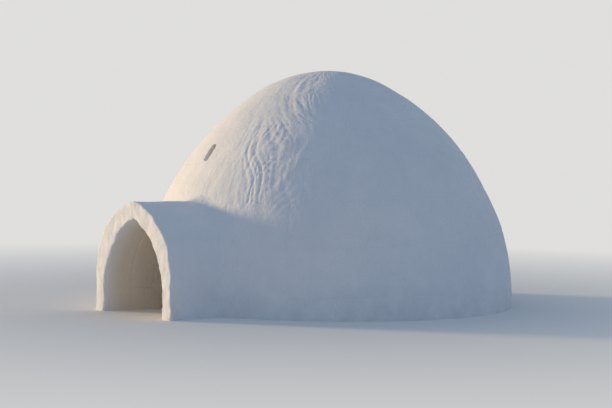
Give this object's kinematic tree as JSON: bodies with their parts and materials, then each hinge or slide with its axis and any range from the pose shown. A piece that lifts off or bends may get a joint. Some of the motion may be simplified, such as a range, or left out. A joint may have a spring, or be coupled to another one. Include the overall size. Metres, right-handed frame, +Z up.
{
  "type": "snow block igloo",
  "caption": "Domed snow house of cut blocks laid in a rising spiral to a key block, hollow inside, with a pointed-arch entrance tunnel and an air vent.",
  "frame": {"origin": "on the ground at the middle of the whole igloo's box, tunnel included", "axes": "+Z up; -Y out of the entrance tunnel, +Y towards the back of the dome; +X to the right of someone who looks in at the entrance"},
  "size_m": [3.64, 4.12, 2.28],
  "materials": {
    "snow": "matte"
  },
  "bodies": {
    "root": {"key_block": "snow", "tunnel_front_left_foot": "snow", "tunnel_front_left_slab": "snow", "tunnel_front_right_foot": "snow", "tunnel_front_right_slab": "snow", "tunnel_rear_left_foot": "snow", "tunnel_rear_left_slab": "snow", "tunnel_rear_right_foot": "snow", "tunnel_rear_right_slab": "snow", "turn_1_even_blocks": "snow", "turn_1_odd_blocks": "snow", "turn_2_even_blocks": "snow", "turn_2_odd_blocks": "snow", "turn_3_even_blocks": "snow", "turn_3_odd_blocks": "snow", "turn_4_even_blocks": "snow", "turn_4_odd_blocks": "snow", "turn_5_even_blocks": "snow", "turn_5_odd_blocks": "snow", "turn_6_even_blocks": "snow", "turn_6_odd_blocks": "snow", "turn_7_even_blocks": "snow", "turn_7_odd_blocks": "snow"}
  },
  "joints": []
}
